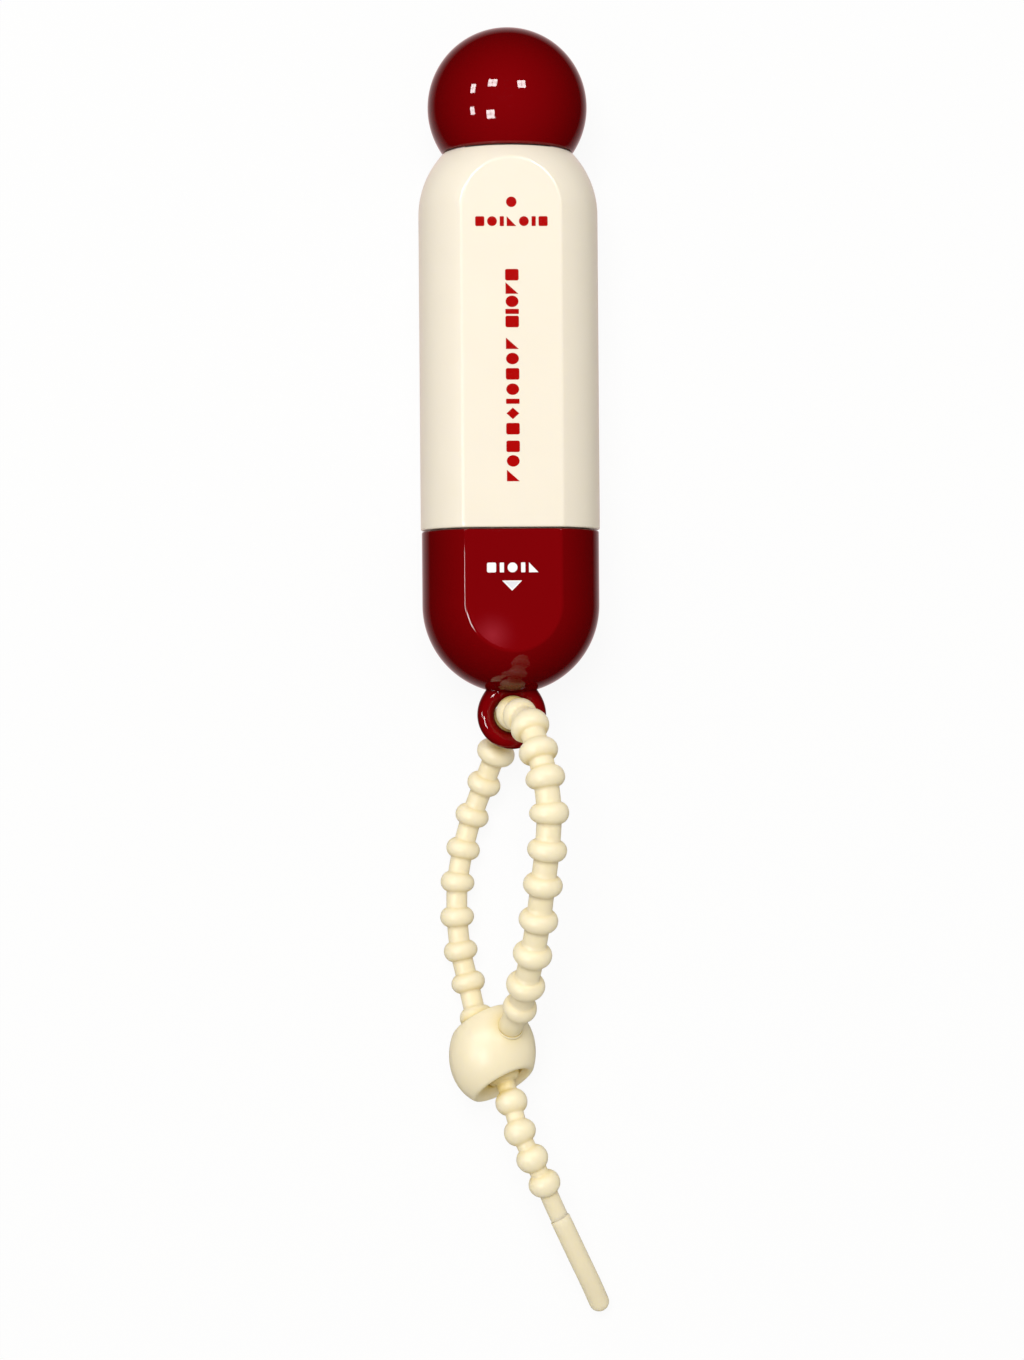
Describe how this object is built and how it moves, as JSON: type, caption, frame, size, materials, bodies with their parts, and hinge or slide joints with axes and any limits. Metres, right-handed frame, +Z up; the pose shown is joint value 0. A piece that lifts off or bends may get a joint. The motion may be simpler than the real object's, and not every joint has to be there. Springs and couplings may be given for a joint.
{
  "type": "stain remover pen",
  "caption": "Two-ended stain remover pen: a pull-off ball cap over a spring-loaded felt nib, a pull-off cap over a brush, and a beaded silicone wrist strap with a lock bead.",
  "frame": {"origin": "centre of the pen's footprint on the table, midway between the ball cap's top and the strap ring's far side", "axes": "+Y along the pen towards the ball cap, +Z up from the table through the front flat, +X across the pen"},
  "size_m": [0.0282, 0.1955, 0.0297],
  "materials": {
    "cream_plastic": "satin",
    "red_plastic": "high gloss",
    "liner_plastic": "matt",
    "white_plastic": "matt",
    "felt": "pressed fibre",
    "spring_steel": "drawn wire",
    "gasket_rubber": "matt",
    "vial_plastic": "milky, slightly clear",
    "bristle_nylon": "fine nylon bristles",
    "silicone": "satin silicone"
  },
  "bodies": {
    "barrel": {"barrel": "cream_plastic", "nib_holder": "white_plastic", "valve_spring": "spring_steel", "valve_housing": "white_plastic", "vial_gasket": "gasket_rubber", "vial": "vial_plastic", "brush_collar": "cream_plastic", "tuft_plate": "white_plastic", "bristle_tufts": "bristle_nylon"},
    "ball_cap": {"remover_cap": "red_plastic", "cap_liner": "liner_plastic"},
    "nib": {"nib": "felt", "valve_stem": "white_plastic"},
    "brush_cap": {"brush_cap": "red_plastic"},
    "strap": {"strap": "silicone", "lock_bead": "silicone"}
  },
  "joints": [
    {"name": "ball_cap_pull", "type": "slide", "parent": "barrel", "child": "ball_cap", "axis": [0, 1, 0], "range_m": [0, 0.02]},
    {"name": "nib_press", "type": "slide", "parent": "barrel", "child": "nib", "axis": [0, -1, 0], "range_m": [0, 0.0015], "stiffness_N_per_m": 350, "springref_m": -0.002, "deforming": ["valve_spring"]},
    {"name": "brush_cap_pull", "type": "slide", "parent": "barrel", "child": "brush_cap", "axis": [0, -1, 0], "range_m": [0, 0.03]},
    {"name": "strap_swing", "type": "hinge", "parent": "brush_cap", "child": "strap", "pos_m": [0, -0.0491, 0.012], "axis": [0, 0, 1], "range_deg": [-50, 50]}
  ]
}
